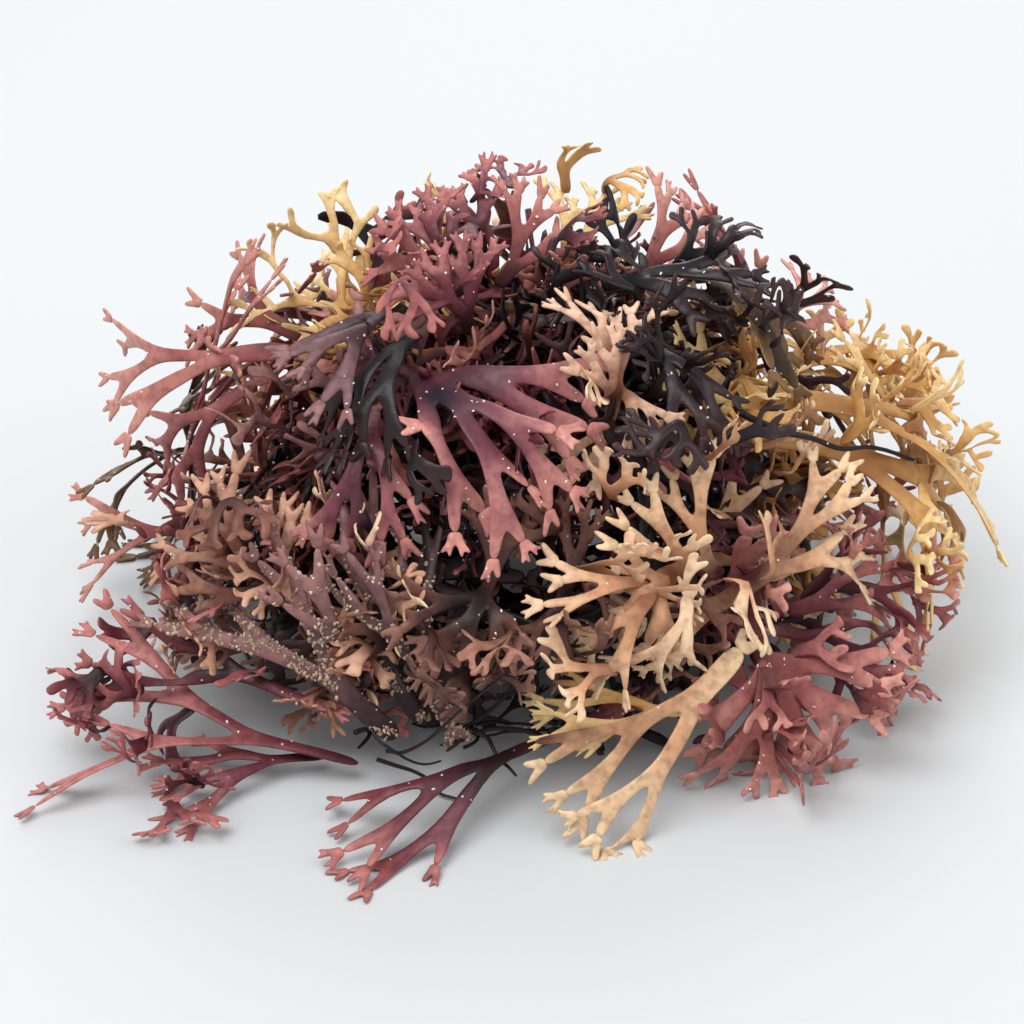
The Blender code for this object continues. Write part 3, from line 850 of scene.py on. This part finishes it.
def dress_frond(node, tips, sizes, rng):
    """The finished piece of one CAD frond: rounded, rippled and with notched tips."""
    name = node.name
    obj = merged_copy(node, f"{name}_frond")
    neighbours = neighbours_of(obj.data)
    root = root_of(name, obj.data, neighbours)
    distances = distances_from([root], neighbours)
    ends = mark_along(obj.data, root, neighbours)
    caps = cap_frames(obj.data, ends, neighbours, distances)
    slim(obj.data, sizes.slimmer)
    smoothness = min(sizes.smoothness, 1) if is_hidden(name) else sizes.smoothness
    apply_modifier(obj, "SUBSURF", levels=smoothness, render_levels=smoothness)
    placements = [(obj.data, Matrix.Identity(4), 0.0)]
    for cap in caps:
        length = sizes.tip_length * rng.uniform(0.8, 1.2)
        placements.append((rng.choice(tips).data, tip_matrix(cap, length, sizes.tip_overlap), 0.0))
    joined = copies(f"{name}_frond", placements)
    old = obj.data
    obj.data = joined
    bpy.data.meshes.remove(old)
    store(joined, "tint", [rng.random()] * len(joined.vertices))
    group = curl_group(obj)
    ripple(obj, sizes.ripple_height, sizes.ripple_size, group)
    ripple(obj, sizes.crinkle_height, sizes.crinkle_size, group)
    for vertex in obj.data.vertices:
        vertex.co.z = above_floor(vertex.co.z)
    slot = SLOTS[name]
    finish_piece(obj, palette_material(OWN_PALETTES.get(name, slot)))
    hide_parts(name)


# The small fronds

def dome_point(angle, height, share):
    """A point on a smaller dome inside the clump."""
    rise = min(height / (DOME_HEIGHT * share), 0.99)
    inset = math.sqrt(1 - rise ** (1 / DOME_SHOULDER)) * share
    return Vector((DOME_CENTRE.x + DOME_HALF_WIDTH * inset * math.cos(angle),
                   DOME_CENTRE.y + DOME_HALF_DEPTH * inset * math.sin(angle), height))


def region_of(place):
    """The colour of the region that a place is in."""
    return min(REGIONS, key=lambda region: (Vector(region[1]) * MM - place).length)[0]


def small_frond_masters(name, orders, length, smoothness, sizes, rng):
    """Small fronds of several outlines, each curled in several ways. orders has how often each forks."""
    masters = []
    for outline, forks in enumerate(orders):
        reach = length * rng.uniform(0.85, 1.15)
        flat = flat_frond(f"{name}_{outline}", reach, sizes.small_frond_width, forks, rng)
        neighbours = neighbours_of(flat.data)
        root = min(range(len(flat.data.vertices)), key=lambda i: flat.data.vertices[i].co.y)
        mark_along(flat.data, root, neighbours)
        apply_modifier(flat, "SOLIDIFY", thickness=sizes.blade_thickness, offset=0.0)
        for curl in CURLS:
            obj = new_object(f"{flat.name}_{curl}", flat.data.copy())
            if smoothness:
                apply_modifier(obj, "SUBSURF", levels=smoothness, render_levels=smoothness)
            bend(obj.data, length, math.radians(curl * rng.uniform(0.7, 1.1)))
            # Each one is waved at another place in the clouds
            obj.data.transform(Matrix.Translation((curl * MM, 0, outline * PATTERN_STEP * MM)))
            ripple(obj, SMALL_RIPPLE_HEIGHT, SMALL_RIPPLE_SIZE)
            obj.data.transform(Matrix.Translation((-curl * MM, 0, -outline * PATTERN_STEP * MM)))
            masters.append(obj)
        bpy.data.objects.remove(flat)
    return masters


def upright(direction, roll):
    """A rotation that turns +Y to a direction, and rolls about it."""
    return direction.to_track_quat("Y", "Z").to_matrix().to_4x4() @ Matrix.Rotation(roll, 4, "Y")


def small_frond_places(count, shares, sizes, rng):
    """(root, direction) of small fronds, spread over domes inside the clump."""
    places = []
    while len(places) < count:
        angle = rng.uniform(0, 2 * math.pi)
        height = DOME_HEIGHT * rng.uniform(0.04, 1.0) ** 0.8
        share = rng.uniform(*shares)
        if height > DOME_HEIGHT * share:
            continue
        tip = dome_point(angle, height, share)
        inner = Vector((DOME_CENTRE.x, DOME_CENTRE.y, height * 0.5))
        outward = (tip - inner).normalized()
        stray = Vector((rng.gauss(0, 1), rng.gauss(0, 1), rng.gauss(0, 1))) * STRAY
        direction = (outward + stray).normalized()
        root = tip - direction * sizes.small_frond_length * REACH
        if root.z > 1 * MM:
            places.append((root, direction))
    return places


def fits(mesh, matrix):
    """Whether a small frond stays in the box of the frame's fronds, a little below its top."""
    low, high = FRAME_BOX[0], FRAME_BOX[1] - Vector((0, 0, TOP_ROOM))
    return all(low[i] < (matrix @ vertex.co)[i] < high[i] for vertex in mesh.vertices for i in (0, 1, 2))


def fill_clump(sizes):
    """Every small frond, joined to one piece for each colour."""
    rng = random.Random(SEEDS["filling"])
    outer = small_frond_masters("small_frond", OUTER_FORKS, sizes.small_frond_length, 1, sizes, rng)
    deep = small_frond_masters("deep_frond", DEEP_FORKS, sizes.small_frond_length, 0, sizes, rng)
    sprigs = small_frond_masters("sprig", SPRIG_FORKS, sizes.sprig_length, 1, sizes, rng)
    groups = {}
    layers = ((DEEP_SHARES, sizes.dark_fronds, True), (OUTER_SHARES, sizes.small_fronds, False))
    for shares, count, dark in layers:
        for root, direction in small_frond_places(count, shares, sizes, rng):
            tip = root + direction * sizes.small_frond_length * REACH
            # Most deep fronds are black, painted shade inside the clump; the others take the colour of their
            # region
            palette = "black" if dark and rng.random() < 0.6 else region_of(tip)
            if rng.random() < 0.2:
                palette = rng.choice(("plum", "dusk", "umber"))
            scale = Matrix.Scale(rng.uniform(0.75, 1.15), 4)
            matrix = Matrix.Translation(root) @ upright(direction, rng.uniform(0, 2 * math.pi)) @ scale
            mesh = rng.choice(deep if dark else outer).data
            # A deep frond gets a low tint: painted shade inside the clump
            tint = rng.uniform(*(DEEP_SHADE_TINTS if dark else OUTER_TINTS))
            if fits(mesh, matrix):
                groups.setdefault(palette, []).append((mesh, matrix, tint))
    for names, count, palette in SPRIGS:
        for matrix in sprig_places(names, count, rng):
            mesh = rng.choice(sprigs).data
            if fits(mesh, matrix):
                groups.setdefault(palette, []).append((mesh, matrix, rng.uniform(*SPRIG_TINTS)))
    for palette, placements in groups.items():
        obj = new_object(f"small_fronds_{palette}", copies(f"small_fronds_{palette}", placements))
        finish_piece(obj, palette_material(palette))
    remove_masters(outer + deep + sprigs)


def sprig_places(names, count, rng):
    """Matrices of sprigs that grow from the dressed fronds, away from the middle of the clump."""
    middle = Vector((DOME_CENTRE.x, DOME_CENTRE.y, 20 * MM))
    places = []
    for place in surface_points(dressed(names), count, rng, -1.0):
        stray = Vector((rng.gauss(0, 1), rng.gauss(0, 1), rng.gauss(0, 1))) * SPRIG_STRAY
        direction = ((place - middle).normalized() + stray).normalized()
        matrix = Matrix.Translation(place) @ upright(direction, rng.uniform(0, 2 * math.pi))
        places.append(matrix @ Matrix.Scale(rng.uniform(0.75, 1.2), 4))
    return places


# Sand, salt and rootlets

def grain_master(name, size):
    bpy.ops.object.select_all(action="DESELECT")
    bpy.ops.mesh.primitive_ico_sphere_add(subdivisions=1, radius=size / 2)
    obj = bpy.context.object
    obj.name = name
    ripple(obj, size * 0.8, size)
    return obj


def surface_points(objects, count, rng, lowest_rise=0.1):
    """Random points, by area, on the faces of these objects whose normals rise more than lowest_rise."""
    faces = []
    weights = []
    for obj in objects:
        for face in obj.data.polygons:
            if face.normal.z > lowest_rise:
                faces.append((obj, face.index))
                weights.append(face.area)
    points = []
    for obj, index in rng.choices(faces, weights, k=count):
        face = obj.data.polygons[index]
        a, b = (obj.data.vertices[i].co for i in rng.sample(list(face.vertices), 2))
        points.append(face.center.lerp(a.lerp(b, rng.random()), rng.random()))
    return points


def scatter(name, master, points, sizes_range, material, rng):
    """Copies of a grain on the points, turned at random."""
    placements = []
    for place in points:
        turn = Euler([rng.uniform(0, 2 * math.pi) for _ in range(3)]).to_matrix().to_4x4()
        matrix = Matrix.Translation(place) @ turn @ Matrix.Scale(rng.uniform(*sizes_range), 4)
        placements.append((master.data, matrix, rng.random()))
    obj = new_object(name, copies(name, placements))
    for vertex in obj.data.vertices:
        vertex.co.z = max(vertex.co.z, 0.0)
    finish_piece(obj, material)


def dressed(names):
    return [bpy.data.objects[f"{name}_frond"] for name in names]


def clustered(points, size, share):
    """The points that lie in patches of this size, which cover about this share."""
    return [place for place in points if noise.noise(place / size) > 1 - 2 * share]


def rootlet_points(rng):
    """A thin root's way over the floor in front of the clump, worked out in millimetres."""
    place = Vector((rng.uniform(-34, 8), rng.uniform(-50, -36), rng.uniform(2, 16)))
    heading = rng.uniform(-math.pi, math.pi)
    rise = rng.uniform(-0.3, 0.5)
    points = []
    for _ in range(rng.randint(5, 9)):
        points.append(place * MM)
        heading += rng.uniform(-0.7, 0.7)
        rise += rng.uniform(-0.5, 0.5)
        place = place + Vector((math.cos(heading), math.sin(heading) * 0.6, rise)) * ROOTLET_STEP
        place.z = max(place.z, 0.8)
        place.y = max(place.y, -58)
    return points


def thread(name, points, radius):
    """A round thread through the points, as a mesh."""
    bpy.ops.object.select_all(action="DESELECT")
    curve = bpy.data.curves.new(name, "CURVE")
    curve.dimensions = "3D"
    curve.bevel_depth = radius
    curve.bevel_resolution = 1
    curve.resolution_u = 4
    curve.use_fill_caps = True
    spline = curve.splines.new("NURBS")
    spline.points.add(len(points) - 1)
    for i, (knot, place) in enumerate(zip(spline.points, points)):
        knot.co = (*place, 1)
        knot.radius = 1.0 - 0.6 * i / len(points)
    spline.order_u = 3
    spline.use_endpoint_u = True
    only(new_object(name, curve))
    bpy.ops.object.convert(target="MESH")
    return bpy.context.object


class MOSS_OT_fronds(bpy.types.Operator):
    """Dress every frond of the frame"""

    bl_idname = "moss.fronds"
    bl_label = "Fronds"

    def execute(self, context):
        rng = random.Random(SEEDS["fronds"])
        sizes = context.scene.moss_sizes
        tips = []
        for i in range(TIP_SHAPES):
            tip = notched_tip(f"notched_tip_{i}", rng)
            store(tip.data, "along", [1.0] * len(tip.data.vertices))
            apply_modifier(tip, "SOLIDIFY", thickness=TIP_THICKNESS, offset=0.0)
            apply_modifier(tip, "SUBSURF", levels=1, render_levels=1)
            tips.append(tip)
        for node in frame["nodes"].values():
            dress_frond(node, tips, sizes, rng)
        remove_masters(tips)
        return {"FINISHED"}


class MOSS_OT_filling(bpy.types.Operator):
    """Fill the clump with small fronds"""

    bl_idname = "moss.filling"
    bl_label = "Small fronds"

    def execute(self, context):
        fill_clump(context.scene.moss_sizes)
        return {"FINISHED"}


class MOSS_OT_sand(bpy.types.Operator):
    """Scatter salt over the clump and sand over the sandy blades"""

    bl_idname = "moss.sand"
    bl_label = "Sand and salt"

    def execute(self, context):
        rng = random.Random(SEEDS["sand"])
        sizes = context.scene.moss_sizes
        colours = context.scene.moss_colours
        grain = grain_master("grain", GRAIN_SIZE)
        salt = grain_finish("salt", colours.dark_salt, colours.pale_salt)
        sand = grain_finish("sand", colours.dark_sand, colours.pale_sand)
        all_fronds = [obj for obj in bpy.data.objects if obj.name.endswith("_frond")]
        dark = [obj for obj in all_fronds if SLOTS[obj.name.removesuffix("_frond")] not in ("gold", "tan")]
        points = surface_points(dark, sizes.salt_specks, rng)
        scatter("salt_specks", grain, points, SALT_SIZES, salt, rng)
        sandy = dressed(("sandy_blade_left", "sandy_blade_middle", "sandy_blade_right"))
        points = surface_points(sandy, sizes.sand_grains * 3, rng, -0.3)
        points = clustered(points, SAND_PATCH_SIZE, SAND_PATCH_SHARE)
        points = [place for place in points if place.z < rng.uniform(*sizes.sand_heights)]
        scatter("sand_grains", grain, points, SAND_SIZES, sand, rng)
        remove_masters([grain])
        return {"FINISHED"}


class MOSS_OT_rootlets(bpy.types.Operator):
    """Lay dark rootlets in front of the clump, and a thin black stem across the gold fronds"""

    bl_idname = "moss.rootlets"
    bl_label = "Rootlets"

    def execute(self, context):
        rng = random.Random(SEEDS["rootlets"])
        threads = []
        for i in range(context.scene.moss_sizes.rootlets):
            threads.append(thread(f"rootlet_{i}", rootlet_points(rng), rng.uniform(*ROOTLET_RADII) * MM))
        threads.append(thread("black_stem", [Vector(place) * MM for place in STEM], STEM_RADIUS))
        placements = [(obj.data, Matrix.Identity(4), rng.random()) for obj in threads]
        joined = new_object("rootlets", copies("rootlets", placements))
        store(joined.data, "along", [0.4] * len(joined.data.vertices))
        finish_piece(joined, palette_material("black"))
        remove_masters(threads)
        return {"FINISHED"}


# The stage

def lay_floor(stage, shade):
    """A white floor, which isn't part of the clump."""
    bpy.ops.object.select_all(action="DESELECT")
    bpy.ops.mesh.primitive_plane_add(size=stage.floor_size)
    floor = bpy.context.object
    floor.name = "floor"
    white = Finish("white_floor")
    white.set(white.shader, "Base Color", (*shade, 1))
    white.set(white.shader, "Roughness", 0.9)
    white.set(white.shader, "Specular IOR Level", 0.1)
    floor.data.materials.append(white.material)


def light_room(scene, stage):
    """A white room and three round lights."""
    world = bpy.data.worlds.new("white_room")
    scene.world = world
    world.use_nodes = True
    sky = world.node_tree.nodes["Background"]
    sky.inputs["Color"].default_value = (1.0, 1.0, 1.0, 1)
    sky.inputs["Strength"].default_value = stage.daylight
    for name, (place, size) in LIGHTS.items():
        light = bpy.data.lights.new(f"{name}_light", "AREA")
        light.shape = "DISK"
        light.size = size
        light.energy = getattr(stage, f"{name}_power")
        lamp = new_object(f"{name}_light", light)
        lamp.location = place
        lamp.rotation_euler = (Vector(LIT_PLACE) - Vector(place)).to_track_quat("-Z", "Y").to_euler()


def place_camera(scene, stage):
    """The camera, in front of the clump and above it."""
    camera = bpy.data.cameras.new("camera")
    camera.lens = camera.sensor_width * stage.distance / stage.picture_width
    viewer = new_object("camera", camera)
    back = Vector((0, -math.cos(stage.elevation), math.sin(stage.elevation)))
    viewer.location = Vector(stage.aim) + back * stage.distance
    viewer.rotation_euler = (math.pi / 2 - stage.elevation, 0, 0)
    scene.camera = viewer


class MOSS_OT_stage(bpy.types.Operator):
    """Set the white floor, the soft light and the camera"""

    bl_idname = "moss.stage"
    bl_label = "Stage"

    def execute(self, context):
        scene = context.scene
        lay_floor(scene.moss_stage, scene.moss_colours.floor)
        light_room(scene, scene.moss_stage)
        scene.view_settings.view_transform = "Standard"
        scene.view_settings.look = "None"
        place_camera(scene, scene.moss_stage)
        return {"FINISHED"}


class MOSS_PT_panel(bpy.types.Panel):
    """Lists the steps that dress the clump"""

    bl_label = "Irish moss"
    bl_idname = "MOSS_PT_panel"
    bl_space_type = "VIEW_3D"
    bl_region_type = "UI"
    bl_category = "Irish moss"

    def draw(self, context):
        for group in (context.scene.moss_sizes, context.scene.moss_colours, context.scene.moss_stage):
            for name in group.__annotations__:
                self.layout.prop(group, name)
        for step in STEPS:
            self.layout.operator(step.bl_idname)


STEPS = (MOSS_OT_fronds, MOSS_OT_filling, MOSS_OT_sand, MOSS_OT_rootlets, MOSS_OT_stage)
CLASSES = (MossSizes, MossColours, StageSettings, *STEPS, MOSS_PT_panel)


def register():
    for cls in CLASSES:
        bpy.utils.register_class(cls)
    bpy.types.Scene.moss_sizes = bpy.props.PointerProperty(type=MossSizes)
    bpy.types.Scene.moss_colours = bpy.props.PointerProperty(type=MossColours)
    bpy.types.Scene.moss_stage = bpy.props.PointerProperty(type=StageSettings)


def unregister():
    del bpy.types.Scene.moss_stage
    del bpy.types.Scene.moss_colours
    del bpy.types.Scene.moss_sizes
    for cls in reversed(CLASSES):
        bpy.utils.unregister_class(cls)


def main():
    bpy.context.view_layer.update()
    register()
    bpy.ops.moss.fronds()
    bpy.ops.moss.filling()
    bpy.ops.moss.sand()
    bpy.ops.moss.rootlets()
    bpy.ops.moss.stage()


if __name__ == "__main__":
    main()
